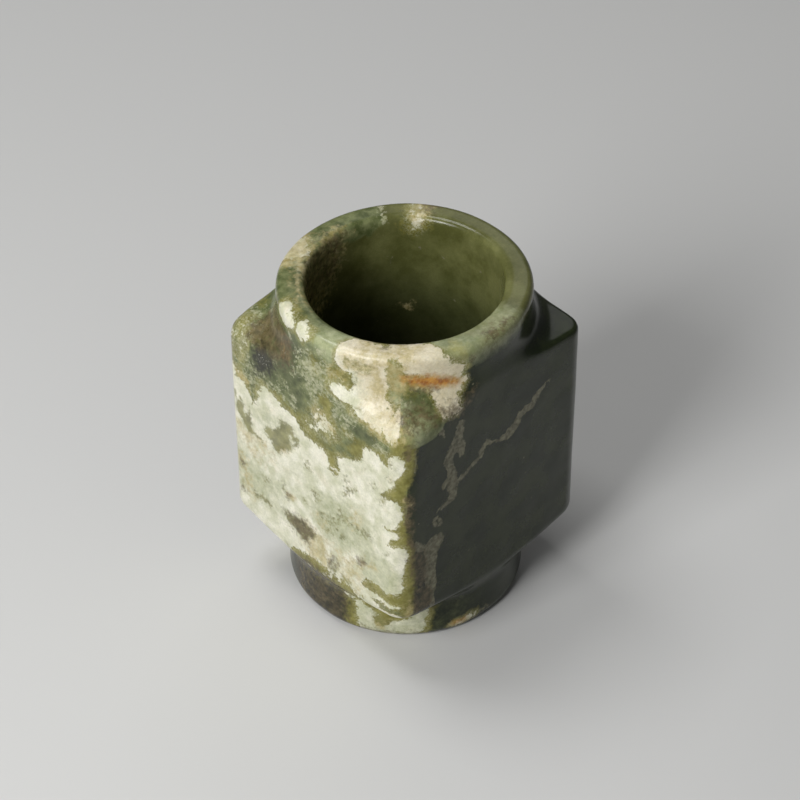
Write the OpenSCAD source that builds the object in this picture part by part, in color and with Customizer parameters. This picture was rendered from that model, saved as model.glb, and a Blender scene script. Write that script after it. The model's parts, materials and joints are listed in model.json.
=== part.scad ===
// Jade cong: a square block on a round tube, worked from one piece of stone.
// Millimetres. +Z runs up the bore, and the origin is the middle of the base.

/* [Block] */
// Width of the block across opposite flat faces
block_side = 65; // [62:0.5:74]
// Height of the block's four corner edges
block_height = 63.5; // [45:0.5:80]
// Rounding of the four corner edges
corner_radius = 5; // [2:0.5:6]

/* [Upper collar] */
// How far the round upper collar's wall stands back from the block's flat faces
upper_collar_step = 0.2; // [0.2:0.1:2]
// Height of the collar above the block's corners
upper_collar_height = 15; // [9:0.5:25]
// Rounding of the rim's outer edge
rim_outer_lip = 2.2; // [1:0.2:3]
// Rounding of the bore's upper mouth
rim_inner_lip = 2.2; // [1:0.2:3]

/* [Lower collar] */
// How far the wall of the collar that the cong stands on is back from the flat faces
lower_collar_step = 1.1; // [0.2:0.1:2]
// Height of the block's corners above the base
lower_collar_height = 19; // [10:0.5:30]
// Rounding of the base's outer edge
base_outer_lip = 2.8; // [1:0.2:3]
// Rounding of the bore's lower mouth
base_inner_lip = 2; // [1:0.2:3]

/* [Shoulders] */
// Slope of the four upper shoulders, down and outwards from the collar
upper_shoulder_slope = 8; // [2:1:25]
// Slope of the four lower shoulders, up and outwards from the collar
lower_shoulder_slope = 18; // [2:1:25]
// Radius of the hollow between the upper shoulders and their collar
upper_hollow_radius = 5; // [2:0.5:6]
// Radius of the hollow between the lower shoulders and their collar
lower_hollow_radius = 3; // [2:0.5:6]
// Rounding where each shoulder turns down over its corner edge
tip_radius = 4; // [2:0.5:6]

/* [Bore] */
// Diameter of the bore through the whole height
bore_d = 49.6; // [40:0.2:52]

/* [Hidden] */
jade_green = "#6f7a55";
smooth = 96;
// Steps along each turned arc
arc_steps = 8;
// Angle left between a hollow's upper end and the collar's wall
hollow_start = 12;
// Angle left between a tip's rounding and the corner edge that it runs into
tip_end = 25;
// How far stock and cutters run past the shape that they leave
spare = 2;
// Most of a collar's wall that one of its lips may round off
lip_share = 0.45;
total_height = lower_collar_height + block_height + upper_collar_height;
upper_corner_z = total_height - upper_collar_height;
// Height where the two collars' rings meet inside the block
middle_z = total_height / 2;
bore_r = bore_d / 2;
upper_collar_r = block_side / 2 - upper_collar_step;
lower_collar_r = block_side / 2 - lower_collar_step;
// Farthest that the rounded corner edges reach from the axis
corner_reach = block_side * sqrt(2) / 2 - corner_radius * (sqrt(2) - 1);

// Points along an arc, from one angle to another
function arc(centre, radius, from, to) =
    [for (i = [0 : arc_steps])
        let (a = from + (to - from) * i / arc_steps)
        centre + radius * [cos(a), sin(a)]];

// Shoulder from its collar out to past the corner, for a shoulder that faces up.
// Its slope would pass the corner's edge at height 0, but the tip is rounded off there.
function shoulder_outline(collar_r, slope, hollow_r) =
    let (
        hollow_x = collar_r + hollow_r * cos(hollow_start),
        root_x = hollow_x - hollow_r * sin(slope),
        root_z = (corner_reach - root_x) * tan(slope),
        tip_x = corner_reach - tip_radius * cos(tip_end),
        brow_z = (corner_reach - tip_x - tip_radius * sin(slope)) * tan(slope),
        hollow_centre = [hollow_x, root_z + hollow_r * cos(slope)],
        tip_centre = [tip_x, brow_z - tip_radius * cos(slope)],
        tip = arc(tip_centre, tip_radius, 90 - slope, tip_end)
    )
    concat(
        arc(hollow_centre, hollow_r, 180 + hollow_start, 270 - slope),
        tip,
        [tip[arc_steps] + spare * [1, -1 / tan(tip_end)]]
    );

// Square bar with rounded corner edges
module rounded_bar(side, radius, height) {
    flat = side - 2 * radius;
    linear_extrude(height) {
        square([side, flat], center = true);
        square([flat, side], center = true);
        for (x = [-1, 1], y = [-1, 1])
            translate([x * flat / 2, y * flat / 2]) circle(radius, $fn = smooth);
    }
}

// Turned shape that trims the bar's two ends to their hollowed shoulders
module shoulder_envelope() {
    upper = shoulder_outline(upper_collar_r, upper_shoulder_slope, upper_hollow_radius);
    lower = shoulder_outline(lower_collar_r, lower_shoulder_slope, lower_hollow_radius);
    top_z = upper_corner_z + upper[0][1];
    bottom_z = lower_collar_height - lower[0][1];
    rotate_extrude($fn = smooth)
        polygon(concat(
            [[0, bottom_z]],
            [for (p = lower) [p[0], lower_collar_height - p[1]]],
            [for (i = [len(upper) - 1 : -1 : 0]) [upper[i][0], upper_corner_z + upper[i][1]]],
            [[0, top_z]]
        ));
}

// What a rounded edge of this radius takes off a square corner at the origin,
// for stock that fills the quarter towards +X and +Y
module edge_waste(radius) {
    difference() {
        translate([-spare, -spare]) square(radius + spare);
        translate([radius, radius]) circle(radius, $fn = smooth);
    }
}

// Section of a collar from the middle of the block to its free end, rounded at that end
module collar_section(outer_r, outer_lip, inner_lip) {
    wall = outer_r - bore_r;
    height = total_height - middle_z;
    difference() {
        translate([bore_r, 0]) square([wall, height]);
        translate([outer_r, height]) rotate(180) edge_waste(min(outer_lip, lip_share * wall));
        translate([bore_r, height]) mirror([0, 1]) edge_waste(min(inner_lip, lip_share * wall));
    }
}

module upper_collar() {
    translate([0, 0, middle_z])
        rotate_extrude($fn = smooth)
            collar_section(upper_collar_r, rim_outer_lip, rim_inner_lip);
}

module lower_collar() {
    translate([0, 0, middle_z])
        mirror([0, 0, 1])
            rotate_extrude($fn = smooth)
                collar_section(lower_collar_r, base_outer_lip, base_inner_lip);
}

module cornered_block() {
    difference() {
        intersection() {
            rounded_bar(block_side, corner_radius, total_height);
            shoulder_envelope();
        }
        cylinder(h = total_height, r = bore_r, $fn = smooth);
    }
}

module cong_body() {
    color(jade_green) {
        cornered_block();
        upper_collar();
        lower_collar();
    }
}

cong_body();
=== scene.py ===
"""Jade cong: a squared tube worked from one block of nephrite, on a pale studio floor."""
import json
import math

import bpy
import numpy as np
from mathutils import Matrix, Vector


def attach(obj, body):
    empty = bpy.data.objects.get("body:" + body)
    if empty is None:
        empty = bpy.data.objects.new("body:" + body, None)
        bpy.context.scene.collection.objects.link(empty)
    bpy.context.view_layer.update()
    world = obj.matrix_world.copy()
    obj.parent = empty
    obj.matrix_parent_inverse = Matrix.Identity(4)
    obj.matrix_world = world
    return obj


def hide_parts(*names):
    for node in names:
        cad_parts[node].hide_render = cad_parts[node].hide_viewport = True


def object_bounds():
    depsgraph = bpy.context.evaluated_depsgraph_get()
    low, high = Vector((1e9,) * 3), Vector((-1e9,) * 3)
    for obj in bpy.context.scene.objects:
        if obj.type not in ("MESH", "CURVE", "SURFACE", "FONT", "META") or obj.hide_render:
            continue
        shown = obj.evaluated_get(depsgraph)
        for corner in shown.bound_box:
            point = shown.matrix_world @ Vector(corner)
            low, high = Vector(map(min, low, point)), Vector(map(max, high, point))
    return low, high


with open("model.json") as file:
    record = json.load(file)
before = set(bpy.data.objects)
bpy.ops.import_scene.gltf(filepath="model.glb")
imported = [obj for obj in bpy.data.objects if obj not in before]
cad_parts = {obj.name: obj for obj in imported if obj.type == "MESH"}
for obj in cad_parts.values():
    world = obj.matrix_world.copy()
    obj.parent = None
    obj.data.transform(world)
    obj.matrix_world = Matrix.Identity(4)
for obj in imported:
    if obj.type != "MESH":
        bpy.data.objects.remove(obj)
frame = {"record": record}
cad_low, cad_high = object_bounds()

# One millimetre in the scene's metres
MM = 0.001


# Camera: sizes in millimetres, in the cong's own frame
EYE = Vector((-365.3, -388.4, 526.3))
LOOK_AT = Vector((-1.0, 0.9, 56.2))
LENS = 123.67
SENSOR = 36.0
CAMERA_ROLL = -0.343


def add_camera():
    """Long lens looking down at the cong, over its front corner"""
    data = bpy.data.cameras.new("studio_camera")
    data.lens = LENS
    data.sensor_width = SENSOR
    data.clip_start = 0.01
    data.clip_end = 100
    camera = bpy.data.objects.new("studio_camera", data)
    aim = (LOOK_AT - EYE).to_track_quat("-Z", "Y").to_matrix().to_4x4()
    roll = Matrix.Rotation(math.radians(CAMERA_ROLL), 4, "Z")
    camera.matrix_world = Matrix.Translation(EYE * MM) @ aim @ roll
    bpy.context.scene.collection.objects.link(camera)
    bpy.context.scene.camera = camera


# Form: the block and its collars, in millimetres
SIDE = (cad_high[0] - cad_low[0]) / MM
HEIGHT = (cad_high[2] - cad_low[2]) / MM
HALF = SIDE / 2
BORE_RADIUS = next(m for m in frame["record"]["mounts"] if m["name"] == "bore")["dims"]["r_mm"]
CORNER_RADIUS = 5
CORNER_REACH = HALF * math.sqrt(2) - CORNER_RADIUS * (math.sqrt(2) - 1)
UPPER_CORNER_Z = HEIGHT - 15
LOWER_CORNER_Z = 19
UPPER_COLLAR_RADIUS = HALF - 0.2
LOWER_COLLAR_RADIUS = HALF - 1.1
UPPER_SLOPE = math.radians(8)
LOWER_SLOPE = math.radians(18)
UPPER_HOLLOW = 5
LOWER_HOLLOW = 3
RIM_LIP = 2.2
BASE_LIP = 2.8
BORE_LIP = 2.1
# Directions from the axis of the four corners
FRONT, RIGHT, BACK, LEFT = 225, 315, 45, 135
# Direction in which the rim rises, and by how much from the axis to its edge
RIM_RISE_TO = 255
RIM_RISE = 0.5


def ease(value, low, high):
    """Runs smoothly from 0 at low to 1 at high"""
    t = np.clip((value - low) / (high - low), 0, 1)
    return t * t * (3 - 2 * t)


def around(angle, centre, reach):
    """1 in the direction of centre, easing to 0 at reach degrees to either side"""
    turn = np.abs((angle - centre + 180) % 360 - 180)
    return 1 - ease(turn, 0, reach)


def join_max(a, b, radius):
    """Larger of two distances, with the edge between them rounded to about this radius"""
    width = 1.17 * radius
    overlap = np.maximum(width - np.abs(a - b), 0) / width
    return np.maximum(a, b) + overlap * overlap * width / 4


def join_min(a, b, radius):
    """Smaller of two distances, with the hollow between them filled to about this radius"""
    return -join_max(-a, -b, radius)


def block_section(x, y, z, angle):
    """Distance from the block's four ground sides and their rounded corner edges"""
    top = ease(z, LOWER_CORNER_Z, UPPER_CORNER_Z)
    front = around(angle, FRONT, 50)
    lean = 1.3 * top * ease(-y, 0, HALF) * (x < 0)
    half_x = HALF - lean + 1.5 * ease(z, UPPER_CORNER_Z + 3, HEIGHT)
    half_y = HALF + 1.5 * ease(z, UPPER_CORNER_Z + 3, HEIGHT)
    radius = CORNER_RADIUS - 1.0 * around(angle, LEFT, 40) + 0.5 * front
    across_x = np.abs(x) - half_x + radius
    across_y = np.abs(y) - half_y + radius
    outside = np.hypot(np.maximum(across_x, 0), np.maximum(across_y, 0))
    return outside + np.minimum(np.maximum(across_x, across_y), 0) - radius


def hand_grinding(x, y, z):
    """Shallow unevenness of surfaces ground by hand, in millimetres below the true shape"""
    long_wave = np.sin(0.11 * x + 0.07 * z + 1.0) * np.sin(0.09 * y - 0.08 * z + 0.5)
    short_wave = np.sin(0.31 * x - 0.22 * z) * np.sin(0.27 * y + 0.19 * z + 2.0)
    return 0.08 * (1 + long_wave) + 0.025 * (1 + short_wave)


def worked_stone(x, y, z):
    """Signed distance from the surface of the cong, negative inside the stone"""
    angle = np.degrees(np.arctan2(y, x)) % 360
    radius = np.hypot(x, y)
    corner = sum(around(angle, c, 35) for c in (FRONT, RIGHT, BACK, LEFT))
    crown = 0.75 * around(angle, LEFT - 13, 35) + 0.35 * around(angle, RIGHT + 7, 35)
    dish = 0.35 * np.exp(-(((radius - 38) / 4) ** 2)) - crown * np.exp(-(((radius - 40.5) / 3.5) ** 2))
    upper_z = UPPER_CORNER_Z + (CORNER_REACH - radius) * math.tan(UPPER_SLOPE) - dish
    upper = (z - upper_z) * math.cos(UPPER_SLOPE)
    lower_z = LOWER_CORNER_Z - (CORNER_REACH - radius) * math.tan(LOWER_SLOPE)
    lower = (lower_z - z) * math.cos(LOWER_SLOPE)
    upper_cut = join_min(upper, radius - UPPER_COLLAR_RADIUS, UPPER_HOLLOW)
    lower_cut = join_min(lower, radius - LOWER_COLLAR_RADIUS, LOWER_HOLLOW)
    left_wear = around(angle, LEFT, 38) * ease(angle, LEFT - 23, LEFT + 3)
    upper_edge = 1.2 + 3.6 * left_wear + 4.0 * around(angle, FRONT, 34) + 1.5 * around(angle, BACK, 35)
    lower_edge = 1.8 + 1.0 * corner
    stone = block_section(x, y, z, angle)
    stone = join_max(stone, upper_cut, upper_edge)
    stone = join_max(stone, lower_cut, lower_edge)
    rise = RIM_RISE / HALF * radius * np.cos(np.radians(angle - RIM_RISE_TO))
    stone = join_max(stone, z - (HEIGHT - RIM_RISE) - rise, RIM_LIP)
    stone = join_max(stone, -z, BASE_LIP)
    stone = join_max(stone, BORE_RADIUS - radius, BORE_LIP)
    return stone + hand_grinding(x, y, z) * ease(z, 0, 4)


# Mesh of the worked stone: columns round the tube, rows round its wall's section
COLUMNS = 500
ROWS = 190
# Share of rows that a millimetre of the bore gets, against one outside
BORE_DETAIL = 0.35
SEEN_DETAIL = 1.35


def column_angles():
    """Directions of the columns, a little closer on the side that faces the camera"""
    fine = np.linspace(0, 360, 3601)
    reach = HALF / np.maximum(np.abs(np.cos(np.radians(fine))), np.abs(np.sin(np.radians(fine))))
    density = reach ** 2 / HALF * (1 + (SEEN_DETAIL - 1) * around(fine, FRONT, 150))
    run = np.concatenate([[0], np.cumsum((density[1:] + density[:-1]) / 2)])
    return np.interp(np.arange(COLUMNS) / COLUMNS * run[-1], run, fine)


def wall_section(angle):
    """Rough section of the wall in one direction, as rows of (radius, height), base first"""
    c, s = abs(math.cos(math.radians(angle))), abs(math.sin(math.radians(angle)))
    reach = HALF / (c ** 15 + s ** 15) ** (1 / 15)
    upper_rise = (reach - UPPER_COLLAR_RADIUS) * math.tan(UPPER_SLOPE)
    lower_rise = (reach - LOWER_COLLAR_RADIUS) * math.tan(LOWER_SLOPE)
    base_flat = BORE_RADIUS + BORE_LIP
    corners = [
        (base_flat, 0, 1),
        (LOWER_COLLAR_RADIUS - BASE_LIP, 0, 1),
        (LOWER_COLLAR_RADIUS, BASE_LIP, 1),
        (LOWER_COLLAR_RADIUS, LOWER_CORNER_Z - lower_rise, 1.2),
        (reach, LOWER_CORNER_Z, 1),
        (reach, UPPER_CORNER_Z, 1.2),
        (UPPER_COLLAR_RADIUS, UPPER_CORNER_Z + upper_rise, 1),
        (UPPER_COLLAR_RADIUS, HEIGHT - RIM_LIP, 1.2),
        (UPPER_COLLAR_RADIUS - RIM_LIP, HEIGHT, 1.2),
        (base_flat, HEIGHT, 1.2),
        (BORE_RADIUS, HEIGHT - BORE_LIP, BORE_DETAIL),
        (BORE_RADIUS, BORE_LIP, 1),
        (base_flat, 0, 1),
    ]
    points = np.array(corners, float)
    lengths = np.hypot(np.diff(points[:, 0]), np.diff(points[:, 1])) * points[:-1, 2]
    run = np.concatenate([[0], np.cumsum(lengths)])
    steps = np.arange(ROWS) / ROWS * run[-1]
    return np.stack([np.interp(steps, run, points[:, 0]), np.interp(steps, run, points[:, 1])], 1)


def settle(points):
    """Moves points along the distance's slope until they lie on the worked stone"""
    step = 0.02
    for _ in range(7):
        x, y, z = points.T
        slope = np.stack([
            worked_stone(x + step, y, z) - worked_stone(x - step, y, z),
            worked_stone(x, y + step, z) - worked_stone(x, y - step, z),
            worked_stone(x, y, z + step) - worked_stone(x, y, z - step),
        ], 1) / (2 * step)
        steepness = np.maximum((slope ** 2).sum(1), 0.2)
        points = points - slope * (worked_stone(x, y, z) / steepness)[:, None]
    return points


def stone_points():
    """Points of the surface in millimetres, as columns of rows"""
    angles = column_angles()
    sections = np.stack([wall_section(a) for a in angles])
    turn = np.radians(angles)[:, None]
    grid = np.stack([sections[..., 0] * np.cos(turn), sections[..., 0] * np.sin(turn), sections[..., 1]], -1)
    points = settle(grid.reshape(-1, 3))
    points[:, 2] = np.clip(points[:, 2], 0, HEIGHT)
    return points


def stone_mesh(name, points):
    """Closed tube of quads over the settled points"""
    column, row = np.meshgrid(np.arange(COLUMNS), np.arange(ROWS), indexing="ij")
    next_column, next_row = (column + 1) % COLUMNS, (row + 1) % ROWS
    quads = np.stack([
        column * ROWS + row,
        next_column * ROWS + row,
        next_column * ROWS + next_row,
        column * ROWS + next_row,
    ], -1).reshape(-1, 4)
    mesh = bpy.data.meshes.new(name)
    mesh.vertices.add(len(points))
    mesh.vertices.foreach_set("co", (points * MM).astype(np.float32).ravel())
    mesh.loops.add(quads.size)
    mesh.loops.foreach_set("vertex_index", quads.astype(np.int32).ravel())
    mesh.polygons.add(len(quads))
    mesh.polygons.foreach_set("loop_start", np.arange(0, quads.size, 4, dtype=np.int32))
    mesh.polygons.foreach_set("use_smooth", np.ones(len(quads), bool))
    mesh.update(calc_edges=True)
    mesh.validate()
    return mesh


def add_stage():
    """Pale floor that runs out of view on every side"""
    bpy.ops.mesh.primitive_plane_add(size=6)
    floor = bpy.context.object
    floor.name = "studio_floor"
    paint = bpy.data.materials.new("studio_floor_paint")
    paint.use_nodes = True
    shader = paint.node_tree.nodes["Principled BSDF"]
    shader.inputs["Base Color"].default_value = (0.6, 0.6, 0.59, 1)
    shader.inputs["Roughness"].default_value = 0.9
    floor.data.materials.append(paint)


# Lights: direction towards the light, distance and size in metres, power in watts
LIGHTS = {
    "key_softbox": ((-0.80, -0.10, 0.60), 0.9, 0.38, 7.0),
    "top_softbox": ((-0.10, 0.35, 0.93), 1.0, 0.4, 3.6),
    "right_fill": ((0.64, 0.42, 0.64), 1.4, 0.6, 1.0),
}


def add_lights():
    """Softboxes aimed at the middle of the cong, and a faint light from all around"""
    for name, (towards, distance, size, power) in LIGHTS.items():
        data = bpy.data.lights.new(name, "AREA")
        data.shape = "SQUARE"
        data.size = size
        data.energy = power
        light = bpy.data.objects.new(name, data)
        direction = Vector(towards).normalized()
        middle = Vector((0, 0, HEIGHT / 2 * MM))
        aim = direction.to_track_quat("Z", "Y").to_matrix().to_4x4()
        light.matrix_world = Matrix.Translation(middle + direction * distance) @ aim
        bpy.context.scene.collection.objects.link(light)
    world = bpy.data.worlds.new("studio_air")
    world.use_nodes = True
    world.node_tree.nodes["Background"].inputs["Color"].default_value = (1, 1, 1, 1)
    world.node_tree.nodes["Background"].inputs["Strength"].default_value = 0.11
    bpy.context.scene.world = world


# Mineral zones, with painted shade, highlight and sheen laid through some of them: depth in millimetres at which a mark
# counts as fully inside or outside
MARK_REACH = 4.0
ZONES = (
    "vein", "green", "deep", "olive", "sage", "milk", "chalk", "cream", "wash", "stain", "tan", "brown",
    "murk", "rust", "specks",
)
# Where the charts end, in millimetres: heights and distance from the axis for the sides, reach
# along the surface for the corner, and radii and heights for the round ones
SIDES_TOP, RIGHT_TOP, SIDES_FOOT = 88, 85, 12
SIDES_INSIDE = 27
EDGE_REACH = 12
COLLAR_INSIDE, COLLAR_OUTSIDE, COLLAR_FOOT = 29.5, 34.5, 83
FOOT_INSIDE, FOOT_OUTSIDE = 26, 32.2
BORE_OUTSIDE, BORE_TOP = 26, 96
SHOULDERS_INSIDE, SHOULDERS_FOOT = 33.6, 81
RIM_FOOT = 94.8
# Directions that the round charts are unrolled from
COLLAR_CENTRE, FOOT_CENTRE, BORE_CENTRE = 200, 220, 60
# Heights between which the stone is painted lighter: painted glow of light through the thin rim, and down the bore
# painted shade that deepens further in
PAINTED_RIM_GLOW_HEIGHTS = (92.5, 96.2)
PAINTED_BORE_SHADE_HEIGHTS = (64, 91)


def drift(points, size, seed):
    """Smooth random values from -1 to 1 that change over about this many millimetres"""
    cells = 32
    lattice = np.random.default_rng(seed).uniform(-1, 1, (cells, cells, cells))
    place = points / size + cells / 2
    low = np.floor(place).astype(int)
    t = place - low
    t = t * t * (3 - 2 * t)
    total = np.zeros(len(points))
    for i in (0, 1):
        for j in (0, 1):
            for k in (0, 1):
                share = np.abs(1 - i - t[:, 0]) * np.abs(1 - j - t[:, 1]) * np.abs(1 - k - t[:, 2])
                corner = (low + (i, j, k)) % cells
                total += share * lattice[corner[:, 0], corner[:, 1], corner[:, 2]]
    return total


class Chart:
    """Part of the surface laid flat, in millimetres. Beyond is how far a point lies off it."""

    def __init__(self, points, across, up, beyond, place=lambda a, b: (a, b)):
        self.near = np.nonzero(beyond < MARK_REACH)[0]
        spot = points[self.near]
        self.across = across[self.near] + 0.3 * drift(spot, 4.0, 1) + 0.12 * drift(spot, 1.5, 2)
        self.up = up[self.near] + 0.3 * drift(spot, 4.0, 3) + 0.12 * drift(spot, 1.5, 4)
        self.beyond = np.maximum(beyond[self.near], 0)
        self.place = place

    def off_line(self, start, end):
        """Distance from a stretch of line, and the share of it passed at the nearest point"""
        along = (end[0] - start[0], end[1] - start[1])
        length = max(along[0] ** 2 + along[1] ** 2, 1e-9)
        share = ((self.across - start[0]) * along[0] + (self.up - start[1]) * along[1]) / length
        share = np.clip(share, 0, 1)
        gap = np.hypot(self.across - start[0] - share * along[0], self.up - start[1] - share * along[1])
        return gap, share

    def area(self, *outline):
        """This chart, and the depth inside a closed outline, negative outside it"""
        corners = [self.place(*p) for p in outline]
        nearest = np.full(len(self.near), 1e9)
        within = np.zeros(len(self.near), bool)
        for start, end in zip(corners, corners[1:] + corners[:1]):
            nearest = np.minimum(nearest, self.off_line(start, end)[0])
            if start[1] != end[1]:
                crosses = (start[1] > self.up) != (end[1] > self.up)
                meets = (end[0] - start[0]) * (self.up - start[1]) / (end[1] - start[1]) + start[0]
                within ^= crosses & (self.across < meets)
        return self, np.where(within, nearest, -nearest) - self.beyond

    def path(self, *stops):
        """This chart, and the depth inside a path of (across, up, half width), negative outside it"""
        deepest = np.full(len(self.near), -1e9)
        places = [(*self.place(a, b), width) for a, b, width in stops]
        for start, end in zip(places, places[1:] or places):
            gap, share = self.off_line(start, end)
            deepest = np.maximum(deepest, start[2] + (end[2] - start[2]) * share - gap)
        return self, deepest - self.beyond


class Stone:
    """Mineral zones of the stone, marked on its charts, and its painted glow at the rim and painted shade down the bore
    """

    def __init__(self, points):
        x, y, z = points.T
        radius = np.hypot(x, y)
        angle = np.degrees(np.arctan2(y, x)) % 360
        self.fields = {name: np.full(len(points), -MARK_REACH) for name in ZONES}
        flat = HALF - CORNER_RADIUS
        arc = math.radians(45) * CORNER_RADIUS
        turned = np.degrees(np.arctan2(y + flat, x + flat)) % 360
        along = np.where(y > x, -(y + flat) - arc, x + flat + arc)
        on_arc = (x < -flat) & (y < -flat)
        along = np.where(on_arc, np.radians(turned - FRONT) * CORNER_RADIUS, along)
        ends = np.maximum(z - SIDES_TOP, SIDES_FOOT - z)
        right_ends = np.maximum(z - RIGHT_TOP, SIDES_FOOT - z)

        def unrolled(ring_radius, centre):
            step = math.radians(1) * ring_radius
            across = ((angle - centre + 180) % 360 - 180) * step
            return across, lambda a, b: (((a - centre + 180) % 360 - 180) * step, b)

        def on_rim(a, ring_radius):
            return ring_radius * math.cos(math.radians(a)), ring_radius * math.sin(math.radians(a))

        self.left = Chart(points, y, z, np.maximum.reduce([x + SIDES_INSIDE, -flat - y, ends]))
        self.right = Chart(points, x, z, np.maximum.reduce([y + SIDES_INSIDE, -flat - x, right_ends]))
        self.far_left = Chart(points, x, z, np.maximum(SIDES_INSIDE - y, ends))
        self.far_right = Chart(points, y, z, np.maximum(SIDES_INSIDE - x, ends))
        self.edge = Chart(points, along, z, np.maximum(np.abs(along) - EDGE_REACH, ends))
        across, place = unrolled(UPPER_COLLAR_RADIUS, COLLAR_CENTRE)
        off = np.maximum.reduce([radius - COLLAR_OUTSIDE, COLLAR_INSIDE - radius, COLLAR_FOOT - z])
        self.collar = Chart(points, across, z, off, place)
        across, place = unrolled(LOWER_COLLAR_RADIUS, FOOT_CENTRE)
        off = np.maximum.reduce([radius - FOOT_OUTSIDE, FOOT_INSIDE - radius, z - LOWER_CORNER_Z])
        self.foot = Chart(points, across, z, off, place)
        across, place = unrolled(BORE_RADIUS, BORE_CENTRE)
        self.bore = Chart(points, across, z, np.maximum(radius - BORE_OUTSIDE, z - BORE_TOP), place)
        off = np.maximum(SHOULDERS_INSIDE - radius, SHOULDERS_FOOT - z)
        self.shoulders = Chart(points, x, y, off)
        self.rim = Chart(points, x, y, RIM_FOOT - z, on_rim)
        # Painted glow of light through the thin rim, and painted shade deeper down the bore: 1 gives the lighter tone
        in_bore = 1 - ease(radius, BORE_RADIUS, BORE_RADIUS + BORE_LIP)
        self.thin = np.maximum(ease(z, *PAINTED_RIM_GLOW_HEIGHTS), (0.3 + 0.7 * ease(z, *PAINTED_BORE_SHADE_HEIGHTS)) * in_bore)

    def add(self, zone, mark, soft=1.0, most=MARK_REACH):
        """Adds an area or a path to a zone. Soft spreads its edge, and most holds back its strength."""
        chart, depth = mark
        field = self.fields[zone]
        field[chart.near] = np.maximum(field[chart.near], np.clip(depth / soft, -MARK_REACH, most))

    def clear(self, zone, mark, soft=1.0):
        """Takes an area or a path out of a zone"""
        chart, depth = mark
        field = self.fields[zone]
        kept = np.clip(-depth / soft, -MARK_REACH, MARK_REACH)
        field[chart.near] = np.minimum(field[chart.near], kept)


def mark_left_crust(stone):
    """Chalky crust over the lower left side, with the tongue of green stone that hangs into it"""
    side = stone.left
    stone.add("chalk", side.area(
        (26, 66), (25.4, 64.6), (26.6, 62.6), (25.6, 60.8), (23, 59.8), (21.4, 61.6), (20.4, 63.4), (20.4, 65.5),
        (19, 67.5), (18.4, 69.2), (16.4, 68.7), (14, 68.5), (12.4, 67.8), (11, 66.6), (9, 66.5), (5.6, 65.7),
        (4.7, 64.4), (4, 63), (2.4, 62.2), (-2, 62), (-5, 61.6), (-6, 60), (-6, 57), (-7.2, 55.8), (-8.7, 55.4),
        (-9.9, 57), (-10.3, 59), (-9.6, 60.6), (-9.2, 62), (-10, 63.3), (-12.5, 64.3), (-14.5, 64.9), (-16, 65.7),
        (-17.6, 66.5), (-18.6, 68), (-19.4, 69.4), (-19.4, 71), (-20.2, 72.3), (-22, 72.4), (-24.3, 71.8),
        (-25, 70.5), (-27, 70.2), (-27.2, 72), (-40, 72), (-40, 29), (-26, 28.4), (-22, 27.9), (-19.6, 27.1),
        (-18.4, 26), (-17.8, 24.6), (-18.6, 23.6), (-20.6, 23.4), (-22.6, 24.5), (-25, 24.8), (-28, 24.5),
        (-40, 25), (-40, 23.6), (-26, 23.5), (-23, 23.2), (-21.4, 22.2), (-22.5, 21), (-25, 20.6), (-40, 20.2),
        (-40, 18.6), (-26, 18.8), (-20, 19.2), (-15, 19.7), (-10, 19.8), (-5, 19.6), (0, 20.4), (3, 20.4),
        (5, 19.8), (9, 19), (11, 14), (40, 14), (40, 60), (29, 62), (29, 66)))
    stone.add("chalk", side.area((40, 70), (28.4, 69), (28.8, 66), (27, 65.8), (28, 60), (40, 58)), 1.4)
    stone.add("chalk", side.path((-7.3, 57.3, 0.35), (-8.8, 57.9, 0.3)), 0.7)
    # Cream tip at the left corner
    stone.add("chalk", side.area((40, 92), (27, 90), (28.4, 87), (29, 84), (30.5, 80), (40, 79)), 2.2, -0.5)
    stone.add("milk", side.area(
        (40, 90), (26, 89), (27, 87), (27.6, 84), (27, 80), (27.4, 76), (28, 72), (28.6, 69), (40, 68)), 2.2, 0.1)
    # Flecks of crust along the lower edge
    for stops in (((-3, 17.2, 0.3), (-5.8, 18.4, 0.4)), ((-9, 19.2, 0.4), (-10.6, 20, 0.3)),
                  ((-13, 16.4, 0.35), (-17, 17, 0.4), (-23, 17.2, 0.3)), ((3.5, 16.6, 0.2), (1, 16, 0.3)),
                  ((-15, 19, 0.3), (-19, 18.6, 0.3)), ((-22, 20.2, 0.6), (-25, 21.4, 0.7), (-23.4, 19.6, 0.5))):
        stone.add("chalk", side.path(*stops), 0.9)


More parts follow.
